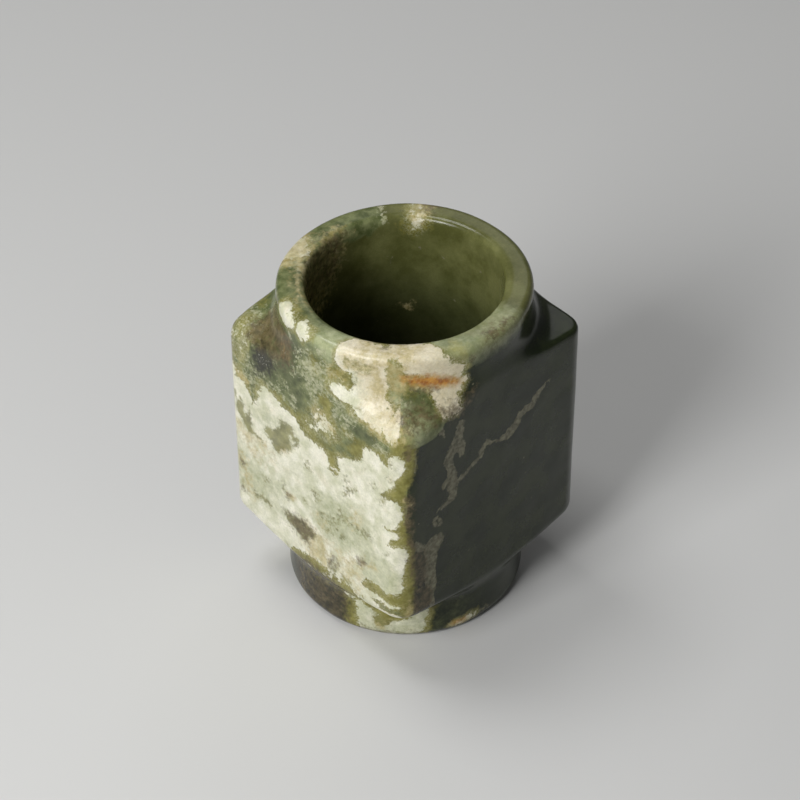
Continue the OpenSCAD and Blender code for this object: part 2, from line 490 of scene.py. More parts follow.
def mark_left_top(stone):
    """Green stone above the crust, with its olive bands, dark inclusion and pale clouds"""
    side = stone.left
    stone.add("green", side.area((40, 50), (-40, 50), (-40, 92), (40, 92)))
    stone.add("deep", side.area(
        (22.5, 76), (20.5, 71.5), (17, 72), (13, 76), (10, 76.5), (5, 76.5), (3, 80), (6, 84), (8, 92), (15, 92),
        (19, 82)), 2.2, 0.4)
    stone.add("deep", side.area((6.4, 77), (3.2, 76), (2.8, 72), (5, 69), (7, 71), (7.2, 74)), 2.0, 0.2)
    stone.add("deep", side.path((-13.5, 75.8, 0.5), (-17, 76, 1.2), (-20.5, 76, 0.9), (-23, 76.4, 0.3)), 1.6)
    stone.add("deep", side.path((21.5, 73, 0.9), (21, 69.5, 1.0), (21.6, 66.5, 0.8)), 1.8)
    # Olive bands
    stone.add("olive", side.area(
        (-2.8, 80), (-6, 81), (-8, 80), (-7.8, 75), (-9, 72.6), (-7.4, 72), (-5.4, 73.4), (-4.2, 76), (-3, 77.4)), 1.4)
    stone.add("olive", side.path((-6.4, 82.4, 0.7), (-8.6, 83.6, 0.7)), 1.8)
    stone.add("olive", side.path((-15, 81.4, 0.9), (-18, 82.2, 1.0), (-23, 81.4, 0.7)), 1.6)
    stone.add("olive", side.area(
        (-11, 74.4), (-13, 73.6), (-16, 73), (-20, 73.4), (-23.6, 74), (-27, 75.4), (-27.3, 70.4), (-24.6, 70.8),
        (-22, 72.6), (-19.4, 72.2), (-19.2, 69), (-16, 65.4), (-13, 68), (-15.4, 71.4), (-12, 72)), 1.3)
    stone.add("olive", side.area((-4.8, 63.4), (-9, 63.6), (-10, 60.6), (-10.4, 57), (-8, 55), (-5.6, 56), (-5.6, 60)), 1.2)
    stone.add("olive", side.path((13.6, 69.8, 0.6), (7, 67.6, 0.9), (3, 64.8, 1.2), (-4, 63.2, 0.9)), 1.5)
    stone.add("olive", side.path((-22, 78, 0.8), (-33, 77.4, 1.2)), 1.6)
    stone.add("tan", side.path((29, 67.8, 0.7), (25.6, 66.8, 0.9)), 1.6, 0.5)
    stone.add("olive", side.path((24.4, 90, 1.0), (23.4, 86, 1.0), (21, 83.6, 0.8)), 2.0)
    # Pale clouds in the green
    stone.add("milk", side.area(
        (27, 83.6), (24, 84), (21.5, 83.6), (21, 82.3), (22.5, 80.5), (23.4, 78.5), (25, 76.5), (26.6, 75.2),
        (27.4, 77), (27.4, 81)), 1.2)
    stone.add("milk", side.area((29, 75), (24, 74), (17, 71.6), (13.6, 70), (17, 68), (21, 66), (29, 66)), 3.0, -0.1)
    stone.add("milk", side.area((25.6, 66), (21.4, 65.4), (22, 61), (25.6, 61.4)), 2.0, 0.0)
    for stops in (((12.8, 72.4, 0.5), (11.6, 71.6, 0.7), (10.5, 70.2, 0.7)), ((10.3, 76, 0.4), (9.3, 75.4, 0.6), (8.2, 74.8, 0.5)),
                  ((6.3, 72.4, 0.7),), ((23, 72.4, 0.6),), ((12, 73.6, 0.3),), ((26.6, 68.6, 0.4), (25, 70, 0.3)),
                  ((6.8, 80.2, 0.2), (4.8, 82, 0.35), (3, 84, 0.4)), ((13, 80.8, 0.35),), ((7.6, 70.6, 0.5), (6, 69, 0.3)),
                  ((-0.8, 73.4, 0.6), (-1.6, 76, 1.0), (-1.8, 78.6, 0.7)), ((-8.6, 73.6, 0.4), (-9.2, 76, 0.9), (-9.6, 79, 0.8)),
                  ((-11.5, 72.2, 0.6), (-14, 72.6, 0.8)), ((-23, 74.6, 0.5), (-26.6, 75, 0.6)),
                  ((-17, 80, 0.4), (-20, 78.9, 0.6)), ((-12, 74.4, 0.2), (-14, 77.4, 0.8))):
        stone.add("milk", side.path(*stops), 1.3)
    stone.add("milk", side.area(
        (4.6, 88), (1.4, 87.6), (-1, 90), (-8, 90), (-10.6, 86.6), (-15, 84.6), (-17.6, 84), (-17, 80), (-15.4, 77),
        (-12.4, 76), (-11.4, 79.4), (-9.6, 81), (-7, 81.6), (-3.4, 81), (-1.4, 78.4), (1.6, 78.6), (1, 81), (2.6, 83.6)), 1.6, 0.35)
    stone.add("milk", side.area((-17, 84.6), (-27, 86), (-27, 79), (-24, 78.8), (-19, 79.6)), 2.2, 0.35)
    stone.add("chalk", side.area(
        (1.6, 65.8), (-1, 66.8), (-2.6, 67.6), (-4, 68.8), (-5.6, 69.2), (-7.2, 69), (-8.2, 70.4), (-7.6, 71.6),
        (-6, 72.4), (-4.4, 73.4), (-2.8, 73.8), (-2, 72.4), (-2, 70.6), (-1, 68.4), (1, 67)), 2.2, 0.15)
    stone.add("tan", side.path((-2.4, 73, 0.6), (-5, 71.6, 0.9), (-7.4, 70.6, 0.6)), 2.6, 0.0)
    stone.add("milk", side.path((-3, 66.4, 0.5), (-5, 65.8, 0.8), (-7.2, 67.4, 0.4)), 1.2, 0.4)
    stone.add("specks", side.area((-2.4, 66.6), (-4.4, 64.6), (-6.6, 66), (-8, 68), (-5, 68)), 1.0, 2.2)
    # Dark inclusion and the brown cloud above it
    stone.add("brown", side.area((25, 85), (20.6, 83), (15, 80.6), (10.5, 80.6), (7, 82.4), (7, 92), (25, 92)), 2.4, 0.7)
    stone.add("murk", side.area(
        (22, 77), (20.6, 80.4), (17, 81.8), (14, 80.4), (13, 78), (15, 75), (18.4, 72.8), (20.8, 73.6)), 1.6, 2.0)
    stone.add("rust", side.path((9.6, 85.6, 0.4), (10.4, 88, 0.6)), 3.0, -0.6)
    stone.add("specks", side.area((22, 79.4), (17, 82), (13, 80.6), (13.6, 76.6), (17, 74.6), (21.4, 75.4)), 1.4, 1.5)
    stone.add("specks", side.area((14, 82), (11, 85.4), (8, 87), (6.4, 84.6), (10, 81.6)), 1.2, 1.4)
    stone.add("specks", side.area((27, 84), (22, 84), (22.6, 79), (26, 76)), 1.2, 1.6)
    stone.add("specks", side.area((5, 88), (-10, 90), (-16, 84), (-16, 77), (-11, 76), (-4, 81), (3, 78)), 1.5, 0.9)


def mark_left_stains(stone):
    """Stains, washes and spots in the crust of the left side"""
    side = stone.left
    stone.add("stain", side.area(
        (12.5, 61.6), (10.5, 62), (8, 61.9), (7, 60.5), (6.7, 59.2), (5.2, 59.4), (5, 58), (5.6, 56.4), (7.6, 54.6),
        (9, 53), (11, 51.8), (12.5, 50.3), (13.8, 49.3), (14.8, 50), (15.6, 51), (15.9, 52.3), (17.2, 52.5), (18.3, 53.6),
        (18.2, 55), (16.8, 56.1), (15.4, 56.2), (14.4, 57.4), (12.5, 58.6), (12, 60)), 0.9)
    stone.add("wash", side.path((20.4, 58, 1.6), (16, 60, 1.6), (13, 59.4, 1.4)), 2.6)
    stone.clear("stain", side.path((8.4, 57.8, 0.7), (7.6, 56.4, 0.7)), 1.2)
    stone.add("tan", side.path((9.4, 54.2, 0.5), (11, 52.6, 0.7), (13.4, 50.2, 0.5)), 1.3, 0.4)
    stone.add("stain", side.area(
        (27.6, 59), (28.7, 57.4), (28.9, 55), (28, 53), (27, 51.2), (25.8, 49.8), (24.4, 49), (22.6, 49.3), (20.3, 49),
        (18.6, 48.6), (20, 49.9), (22, 50.6), (23.2, 51.4), (23.1, 55), (23.4, 58), (24.4, 56.4), (25.4, 54.8),
        (26.3, 55.4), (26, 57.2), (26.6, 58.8)), 0.9)
    stone.add("stain", side.path((29.8, 60, 0.5), (29.4, 58, 0.4)), 1.2)
    stone.add("wash", side.area((-1, 46), (-9, 48), (-15, 48), (-21, 45), (-21, 38), (-13, 33), (-4, 32), (0, 37)), 3.0)
    for stops in (((-10.8, 43, 0.5), (-12.2, 43.4, 0.6)), ((-13.8, 42.9, 0.5),), ((-16.6, 42.4, 0.6), (-18.6, 42.8, 0.8)),
                  ((-20.8, 42.6, 0.5),), ((-10.2, 44.6, 0.4),), ((-9.2, 41.2, 0.5),), ((-3.4, 38.4, 0.8), (-4.2, 38, 0.4)),
                  ((-5.8, 38.2, 0.5), (-5.4, 36.6, 0.4)), ((-5.3, 34.8, 0.5),), ((-7.4, 40, 0.5), (-8.4, 37.4, 0.5)),
                  ((-10.4, 36.2, 0.5),), ((-1.4, 43.4, 0.6),), ((-0.6, 44.8, 0.3),), ((-12.4, 57, 0.7),),
                  ((-11.8, 52.2, 0.3), (-13.6, 54, 0.5), (-15, 55.4, 0.2)), ((1.6, 52.4, 0.8),), ((11.6, 38.8, 0.5),),
                  ((3.8, 39.2, 0.4),), ((18.4, 36.3, 0.5),), ((-25, 58.2, 0.5), (-26.4, 60.4, 0.4)),
                  ((-28.4, 66.4, 0.7), (-29.6, 67.4, 0.6)), ((-28, 72.4, 0.7), (-29.4, 71, 0.6)), ((-22, 61, 0.4),),
                  ((-27.6, 41.4, 0.4), (-29, 42.6, 0.3))):
        stone.add("stain", side.path(*stops), 1.8, 0.1)
    stone.add("tan", side.path((24.8, 43.3, 0.8), (23.4, 42, 0.4), (21.8, 41.8, 0.7)), 1.8, 0.3)
    stone.add("tan", side.area((29, 50), (24, 48.6), (19, 49), (17, 47), (20, 44), (29, 45)), 4.0, 0.0)
    stone.add("tan", side.path((-15.4, 44, 0.8), (-15.8, 47, 0.6)), 3.0, -0.1)
    stone.add("tan", side.path((-2, 36.6, 0.6), (-2.6, 34.6, 0.6)), 3.0, -0.1)
    stone.add("brown", side.path((9.9, 36.3, 0.75), (9.3, 36.7, 0.6)), 1.2)
    stone.add("tan", side.path((9.6, 36.4, 0.9), (7.2, 37.3, 0.3)), 1.2, 0.6)
    stone.add("brown", side.path((28.6, 36, 0.9)), 1.5, 0.6)
    stone.add("tan", side.path((28.2, 37, 1.5), (27, 34, 1.0), (26.4, 30.6, 1.2)), 2.6, 0.5)
    stone.add("brown", side.path((28.8, 27.2, 0.6), (27.6, 26.6, 0.5)), 1.4, 0.3)
    stone.add("stain", side.path((23.4, 28.2, 0.5), (19.5, 28.6, 0.9), (17.2, 28, 0.5)), 1.4, 0.9)
    stone.add("tan", side.path((25.6, 27.6, 0.9), (24, 26.2, 0.5)), 2.2, 0.3)
    patch = side.area(
        (11.8, 29), (10.5, 30), (8, 30.6), (4, 30.9), (0.6, 30.4), (-0.2, 29.4), (0.6, 28), (2.4, 26.8), (3, 24.8),
        (4.6, 24.4), (6, 25.4), (8, 26.4), (9.8, 26.6), (10.8, 27.4))
    stone.add("stain", patch, 1.0)
    stone.add("brown", patch, 2.2, 0.6)
    stone.add("specks", patch, 1.0, 1.0)
    stone.add("tan", side.area((4, 31), (-3.6, 30.4), (-5, 26), (-4, 21), (3, 20.6), (3.6, 23.4)), 2.6, 0.5)
    ring = ((-5, 22.4, 0.4), (-5.6, 24, 0.5), (-7.4, 26.2, 0.45), (-8.4, 25.2, 0.4), (-7.4, 23.6, 0.35), (-6.4, 22.2, 0.4))
    stone.add("brown", side.path(*ring), 1.3, 0.6)
    stone.add("tan", side.area((-9, 29), (-17, 30), (-17, 23), (-11, 22.4)), 4.5, 0.0)
    stone.add("brown", side.path((-16.6, 31.8, 0.5), (-18.6, 32.7, 0.7)), 1.2, 0.8)
    stone.add("tan", side.path((-18, 32.2, 0.9), (-22.8, 33.4, 0.5)), 1.6, 0.5)
    stone.add("deep", side.path((-19, 25.2, 1.0), (-22, 26, 0.8), (-29, 26.6, 0.6)), 2.6, 0.4)
    stone.add("deep", side.path((-22.6, 21.8, 0.6), (-32, 22.4, 1.0)), 1.6, 0.8)
    stone.add("stain", side.area((-10, 21.8), (-13.8, 21.8), (-14, 20.4), (-10.2, 20.3)), 1.0)
    stone.add("stain", side.path((-5.4, 20.2, 0.7), (-7.6, 21.4, 0.5)), 1.6)
    stone.add("olive", side.area((12, 20.5), (0, 21), (-8, 20.5), (-40, 22), (-40, 12), (12, 12)), 1.0)
    # Painted shade: dark green over the band under the left side's lower edge, where the lower shoulder slopes down
    # away from the light
    stone.add("deep", side.area((12, 19.4), (2, 19.6), (-8, 19.6), (-26, 18.8), (-26, 10), (12, 10)), 1.6, 1.2)


def mark_front_edge(stone):
    """Crust that ends in lobes at the front corner, and the olive band between it and the dark stone"""
    edge = stone.edge
    stone.add("green", edge.area((-14, 92), (-14, 74), (2.5, 74), (3.5, 92)))
    stone.add("olive", edge.area(
        (-4, 84), (2.8, 83.5), (4.6, 81), (5.2, 78), (4.8, 75), (4.3, 72), (4, 69), (3, 66), (2, 63.5),
        (2, 61), (1.3, 59), (1, 56), (1.5, 53), (1.6, 50.5), (2.5, 48.5), (3, 46), (3.8, 43.5), (4, 40),
        (4.2, 30), (3.8, 26), (4.2, 20), (4, 14), (-12, 14), (-12, 60), (-8, 68), (-4, 76)), 0.9)
    stone.clear("olive", edge.path((-14, 76.2, 1.3), (-8, 76.6, 1.5), (-3.5, 77, 1.2)), 1.2)
    stone.clear("chalk", edge.area((-7, 92), (16, 92), (16, 10), (-7, 10)))
    stone.add("chalk", edge.area(
        (-7, 88), (-7, 80.5), (-5, 79), (-3, 78.6), (-1.6, 79.4), (-0.8, 81), (-0.4, 83), (-0.2, 88)), 0.8)
    stone.add("chalk", edge.area(
        (-14, 71.5), (-10, 72.6), (-8, 72), (-6, 70.5), (-4.4, 70.4), (-4.4, 73.5), (-3.8, 74.8), (0, 75),
        (1.2, 74), (1.6, 72), (1, 70.3), (-0.4, 68.6), (-1.4, 67), (-2, 65.3), (-3.8, 63.3), (-5.8, 61.4),
        (-7, 59.2), (-5.2, 60.1), (-2.5, 60.2), (-0.6, 59.8), (0.3, 58), (0.6, 56), (0.2, 54), (-0.8, 52.2),
        (-1.2, 51), (-3, 50.4), (-6, 49.8), (-3, 49.4), (-1, 49.6), (-0.4, 48.7), (-1.4, 47.6), (-3, 46.6),
        (-4.3, 44.6), (-2.8, 45), (-0.5, 45.2), (0.8, 44.8), (1.9, 43), (2, 41), (1.2, 39), (0.8, 36),
        (0.4, 33), (0.4, 30.5), (-0.8, 28.6), (-3, 28.6), (-5, 27.6), (-7, 28.2), (-14, 28)), 0.8)
    stone.add("chalk", edge.area(
        (-14, 24.3), (-8, 24.3), (-4, 24.6), (-1, 24.3), (-0.3, 23.7), (-2, 23.2), (-6, 23), (-9, 22.4),
        (-10.5, 21.6), (-8, 20.8), (-4, 20.6), (-1, 20.4), (0, 19.8), (0, 16), (-14, 16)), 0.8)
    stone.clear("chalk", edge.path((-14, 76.4, 1.0), (-8, 77, 1.4), (-3, 77, 1.2), (-1, 77, 0.8)), 1.0)
    stone.add("green", edge.path((-10, 22, 0.6), (-5, 22, 1.0), (-1, 22, 1.2), (0.8, 22.5, 1.2)), 0.9)
    stone.clear("olive", edge.path((-10, 22, 0.6), (-5, 22, 1.0), (-1, 22, 1.2)), 0.9)
    # Painted shade: sage wash over the lower crust near the front corner and near the left corner, darker towards the
    # bottom where light falls off
    stone.add("wash", edge.area((-14, 40), (-3, 39), (0, 34), (0, 28), (-14, 27)), 3.0)
    stone.add("wash", stone.left.area((31, 40), (14, 38), (16, 29), (30, 27)), 3.5)
    stone.add("tan", edge.path((2.2, 80, 0.5), (1.5, 82.5, 1.2)), 1.2, 0.8)
    stone.add("tan", edge.path((2.6, 25, 0.5), (2.6, 22, 0.8), (2.4, 20, 0.6)), 1.5, 0.4)
    stone.add("tan", edge.path((1.2, 61, 0.6), (2, 59.5, 0.4)), 1.0, 0.6)
    stone.add("brown", edge.path((3, 78, 1.0), (2.4, 76, 1.0)), 2.2, 0.1)
    stone.add("brown", edge.path((2.2, 61, 0.8), (2.3, 55, 1.1), (2.6, 50, 1.0), (3.2, 45, 0.8), (3.6, 36, 0.6)), 1.3, 0.9)
    stone.add("vein", edge.path((3.9, 79, 0.2), (4.5, 76.5, 0.35), (4.6, 73, 0.3), (4.1, 69.5, 0.2)), 0.8)
    # Brown stain that runs on into the dark stone
    stone.add("brown", edge.area((4, 42), (7, 40.5), (8, 37), (8, 30), (4, 30)), 1.6, 0.3)
    stone.add("brown", edge.area((4, 28), (8, 28), (9.5, 25.5), (10, 20), (4, 19.5)), 1.4, 0.4)
    stone.add("brown", edge.path((4, 82.5, 1.0), (12, 82, 1.2)), 2.5, 0.2)


def mark_right_side(stone):
    """Pale veins that cross the dark stone of the right side"""
    side = stone.right
    veins = (
        ((-18.6, 79.6, 0.4), (-18, 77.6, 0.8), (-17, 75.5, 0.3)),
        ((-11.5, 76, 1.2), (-12, 73.8, 1.4), (-13, 71.8, 1.8), (-14, 70, 2.0)),
        ((-14, 70, 1.8), (-11.6, 68.6, 1.6), (-11.2, 66.2, 0.8)),
        ((-14, 70, 1.8), (-16, 66.6, 1.5), (-15, 63.6, 1.1), (-14.6, 61, 1.5), (-14.6, 57.6, 1.8), (-14, 55.4, 1.5),
         (-14, 53.4, 1.4), (-16, 52.5, 1.0), (-19.8, 51.5, 0.3)),
        ((-14.6, 60.5, 1.4), (-17.4, 58.8, 0.9)),
        ((19.2, 72.2, 0.5), (17.6, 71.6, 0.35), (16.3, 70.4, 0.8), (14.6, 69, 1.3), (13.4, 66.9, 1.1), (11, 67, 1.1),
         (9, 66.4, 1.1), (7.6, 64, 1.3), (5, 62, 1.5), (2, 62.3, 0.5), (-0.4, 63.2, 0.5), (-2.6, 64.5, 0.8),
         (-4, 63, 0.8), (-4.4, 60.6, 0.8), (-8, 59.3, 0.5), (-10.5, 58.1, 0.8), (-13, 57.6, 0.8)),
        ((-26.7, 44.6, 1.1), (-25.5, 42.6, 1.3), (-23.6, 41.4, 1.0)),
        ((-27.2, 28.3, 0.25), (-25, 28.1, 0.2), (-23, 28.2, 0.35)),
    )
    for stops in veins:
        stone.add("vein", side.path(*stops), 0.9)
    stone.add("vein", side.area(
        (-22, 43.6), (-18, 43.6), (-17.2, 41), (-18, 39), (-19.5, 37), (-19.7, 35), (-20.4, 32), (-19.8, 29.5),
        (-19.3, 27), (-19.8, 25), (-20.7, 24.4), (-20.7, 22), (-20.1, 14), (-22, 14), (-22.2, 22), (-21, 24.6),
        (-22, 26), (-23.3, 28.5), (-24, 31), (-24, 35), (-23.4, 37), (-24, 39), (-23.6, 41.5)), 0.9)
    stone.add("vein", side.area((-21.2, 50.2), (-19.6, 50), (-18, 48), (-17.7, 46), (-19.6, 46.2), (-21.4, 48)), 0.8)
    stone.clear("vein", side.path((-20, 48.9, 0.35), (-19.2, 47.6, 0.3)), 0.8)
    for across, up, size in ((11, 50.6, 0.25), (12, 45, 0.3), (11.6, 48.6, 0.12), (-4, 51.2, 0.3), (-13.6, 36.4, 0.3),
                             (-26.2, 51.6, 0.25), (14.4, 34.6, 0.2), (-8.4, 30.4, 0.25), (9, 79.6, 0.2), (-21, 77.3, 0.2)):
        stone.add("vein", side.path((across, up, size)), 0.6)
    stone.add("brown", side.path((-26, 83, 1.0), (-12, 81.5, 1.0), (-8, 84, 0.6)), 3.0, 0.2)


def mark_upper_collar(stone):
    """Cream, tan and olive bands over the collar's wall, ending at the dark stone in front"""
    wall = stone.collar
    stone.add("green", wall.area(
        (135, 78), (248, 78), (250, 84), (252.5, 88), (255, 91.5), (262, 96), (270, 100), (130, 100)))
    stone.add("olive", wall.area((219, 86.5), (230, 86.5), (229, 92), (226, 100), (219, 100)), 1.6)
    stone.add("olive", wall.area((243, 100), (256, 100), (256, 92), (250, 93)), 1.6)
    stone.add("sage", wall.path((221, 95, 1.0), (221.4, 90, 1.5), (223, 85, 1.3), (229, 80, 2.4)), 1.3, 1.6)
    # Painted sheen: pale sage on the collar's outer lip stands in for the key light's highlight there
    stone.add("sage", wall.area((180, 97), (182, 94.4), (188, 92.4), (194, 91.8), (198, 94), (198, 97)), 1.4, 1.4)
    stone.add("deep", wall.area((158, 82), (170, 83), (176, 91), (167, 91.6), (160, 89)), 2.0, 0.8)
    stone.add("deep", wall.path((221, 85.4, 0.8), (228, 85.2, 1.3), (234, 84.4, 0.9)), 2.0, 0.3)
    stone.add("milk", wall.path((222, 85.8, 0.7), (225, 84.6, 0.5)), 1.8, 0.0)
    chalk = (
        ((152, 96.3), (152.2, 93.6), (154, 92.8), (157.3, 92.6), (161, 92.4), (164, 92.9), (166.6, 94),
         (168.6, 95.8), (168.8, 96.3)),
        ((171, 96.3), (172, 95.6), (174, 95), (176.5, 94.4), (179, 95.2), (179.4, 96.3)),
        # Along the hollow, from 192 to 204 degrees at heights 82.4 to 86.4, this outline paints the key light's white
        # highlight as crust
        ((194.5, 100), (195, 94), (196.4, 92), (199, 91), (203, 90.4), (203.6, 88), (203.4, 86.2), (197, 86.4), (194, 86),
         (192.5, 86), (192.4, 84.6), (197, 82.6), (204, 82.6), (212, 82.4), (214.4, 80.6), (216.6, 78), (224, 78),
         (220.8, 82), (219.4, 83), (218, 84.4), (217.5, 85.8), (218.2, 87.2), (219, 89), (219, 92), (218.8, 100)),
        ((225, 100), (226, 95), (227.4, 92.6), (232, 92.4), (236, 91.4), (241, 90.4), (246, 89.6), (251, 89.4), (252, 89.8),
         (251.2, 90.6), (252, 91.4), (254, 92.2), (253.6, 93), (251.4, 93.6), (249, 94.2), (245.6, 94.4), (244.2, 96), (243.4, 100)),
        ((238, 87.6), (236.4, 86), (236.8, 84.6), (238, 82.6), (240.4, 81), (242.6, 79.9), (245, 79.3), (247.6, 79.9),
         (249.4, 81.2), (249.6, 82.6), (247.8, 84), (248, 85.2), (250.8, 86.2), (251.8, 87.2), (254, 88.2), (253.4, 89.4),
         (250, 88.8), (244, 88.4)),
    )
    for outline in chalk:
        stone.add("chalk", wall.area(*outline), 0.8)
    stone.add("tan", wall.area((219, 96), (226, 94.4), (228, 89), (224, 86.6), (220, 87.6)), 1.6, 0.7)
    stone.add("stain", wall.path((201.4, 93.7, 0.6), (206, 93.4, 0.9), (210, 93.8, 0.7)), 2.2, -0.1)
    stone.add("tan", wall.path((213.4, 93, 0.7), (213.8, 90, 0.9), (213.6, 87, 0.6)), 1.3, 1.0)
    stone.add("milk", wall.path((165.6, 90.6, 0.5)), 1.4, 0.6)
    stone.add("olive", wall.area((199.4, 95), (200.6, 92.6), (205, 91.6), (210, 92), (213, 94.6), (208, 95.2)), 1.0)
    stone.add("tan", wall.area((199.4, 95), (200.6, 92.4), (205, 91.6), (210, 92), (213, 94.6), (206, 95.4)), 1.8, 0.9)
    stone.add("tan", wall.area(
        (211, 95), (212, 92), (212.8, 90), (212.8, 88), (213.4, 86.4), (217, 86.4), (217.6, 89), (217, 92), (215, 95)), 1.4, 1.3)
    stone.add("olive", wall.area(
        (190, 91.6), (196, 91), (201, 90.6), (203.4, 89.4), (203.2, 86.8), (198, 86.6), (190, 86)), 1.2, 1.5)
    stone.add("tan", wall.path((194, 88.8, 1.0), (199, 88.8, 0.9)), 2.0, 0.2)
    stone.add("stain", wall.path((199.6, 88.6, 0.7), (202.4, 88.2, 0.9)), 1.8, 0.3)
    stone.add("stain", wall.path((203.4, 81.6, 0.4), (207, 81.6, 0.9), (211.4, 81.2, 0.8)), 1.3, 0.7)
    # Mottled green stone beside the left side
    for stops in (((172, 84.8, 0.3), (175, 86, 0.7), (177, 86.4, 0.4)), ((171.4, 88.8, 0.4), (175.6, 90, 0.4)),
                  ((167, 81, 0.3), (171, 82.6, 0.5)), ((178, 83, 0.4), (181, 84.2, 0.5)),
                  ((183, 84, 0.5), (187, 83, 1.0), (189.6, 86, 1.0), (191, 87.4, 0.5)),
                  ((184, 81.6, 0.4), (189, 82, 0.6)), ((188, 89.6, 0.5), (191, 91.4, 0.5)), ((185, 92.6, 0.5), (188, 94, 0.5)),
                  ((177, 79.4, 0.8), (180, 79.4, 0.6)), ((192, 80, 0.5), (197, 80.6, 0.7)), ((178, 88, 0.4), (179, 90.6, 0.5))):
        stone.add("milk", wall.path(*stops), 1.2, 1.2)
    stone.add("olive", wall.area((179, 86), (186, 85.4), (187, 89), (184, 91), (180, 90)), 2.0, 0.3)
    stone.add("specks", wall.area((168, 80), (196, 80), (195, 89), (184, 91), (172, 88)), 1.5, 1.0)
    # Brown cloud over the inclusion
    stone.add("brown", wall.area((135, 80), (161, 80), (164, 85), (160, 88.4), (152, 88), (135, 90)), 2.2, 0.6)
    # Rusty seam
    stone.add("tan", wall.area(
        (226.6, 92.6), (233, 92.6), (238, 91.5), (243, 90.6), (248, 90.6), (251, 89), (247, 87.6), (240, 87.2),
        (236, 86.8), (233, 88.2), (229.6, 88.2), (228.8, 90)), 1.3, 1.6)
    stone.add("rust", wall.path(
        (227, 91.2, 0.7), (233, 90.6, 1.2), (239, 90, 1.6), (244, 89.2, 1.2), (250, 88.2, 0.5)), 2.0, 0.0)
    stone.add("rust", wall.path(
        (229, 90.8, 0.4), (233, 90.4, 0.9), (238, 89.9, 1.2), (243, 89.3, 0.9), (248, 88.5, 0.5), (251, 88, 0.2)), 0.8)
    stone.add("brown", wall.path((236, 90.4, 0.1), (240, 89.8, 0.4), (244, 89.1, 0.2)), 0.9, 0.3)
    stone.add("brown", wall.path((230, 88, 0.3), (236, 87.4, 0.5), (240, 87.4, 0.4)), 1.3, 0.2)
    stone.add("cream", wall.area((203, 100), (258, 100), (258, 76), (212, 76)), 2.0)
    stone.add("brown", wall.path((257.6, 94, 0.6)), 1.0, 1.6)
    stone.add("vein", wall.path((257, 86.3, 0.3)), 0.8)


def mark_shoulders(stone):
    """Cream and olive over the front shoulder, and the cream tip of the left one"""
    top = stone.shoulders
    stone.add("green", top.area((-40, 34), (-16, 34), (-16, 16), (-40, 16)))
    stone.add("brown", top.area((-31.5, 25), (-27, 26), (-24, 22), (-26, 17), (-34, 16)), 2.4, 1.1)
    stone.add("olive", top.path((-27, 31, 0.8), (-28, 28.4, 1.0), (-30.2, 25.4, 0.8)), 1.8)
    stone.add("chalk", top.area((-31, 36), (-31.2, 31.4), (-32, 28), (-32.8, 26), (-40, 24), (-40, 36)), 2.2, -0.5)
    stone.add("milk", top.area((-29, 36), (-29.6, 31), (-31, 27), (-32.2, 24), (-40, 22), (-40, 36)), 2.4, 0.1)
    stone.add("olive", top.path((-31.6, -15.5, 0.9), (-31.2, -20, 0.8)), 1.4)
    stone.add("milk", top.path((-21.6, 24.6, 0.2), (-24, 21.6, 0.4), (-26, 19, 0.3)), 1.4, 0.3)
    stone.add("green", top.area((-40, -16), (-40, -40), (-16, -40), (-15, -26), (-22, -20), (-27, -14)))
    stone.add("sage", top.area((-26, -27.5), (-21, -31), (-20, -40), (-31, -40), (-29.5, -31)), 1.6, 1.0)
    stone.add("deep", top.path((-25, -24.6, 0.8), (-23, -27, 1.0)), 2.6, 0.2)
    stone.add("chalk", top.area(
        (-28, -14), (-27, -18), (-26, -20), (-26.2, -22), (-26.4, -24), (-27, -26), (-27.6, -28), (-28.2, -30),
        (-29.5, -31), (-32, -31.3), (-33.4, -32), (-34.4, -34), (-40, -34), (-40, -30), (-34, -28.6), (-33.6, -26),
        (-32.6, -23), (-32, -20), (-31.6, -14)), 1.0)
    stone.add("milk", top.area((-31, -14), (-31, -24), (-34, -30), (-40, -28), (-40, -14)), 2.2, 0.5)
    stone.add("tan", top.area((-32, -31.2), (-28.4, -30.8), (-28.6, -33.4), (-31, -34.6), (-33.6, -33.6)), 1.4, 0.8)
    stone.add("tan", top.area((-33, -18), (-26, -18), (-27, -30), (-32, -31)), 3.0, -0.2)
    stone.add("chalk", top.area((-19.4, -26), (-18.8, -29), (-18, -32), (-12, -33), (-11, -28), (-16, -25)), 0.9)
    stone.add("cream", top.area((-33, -24), (-27, -20), (-12, -24), (-12, -40), (-40, -40)), 2.5, 0.4)


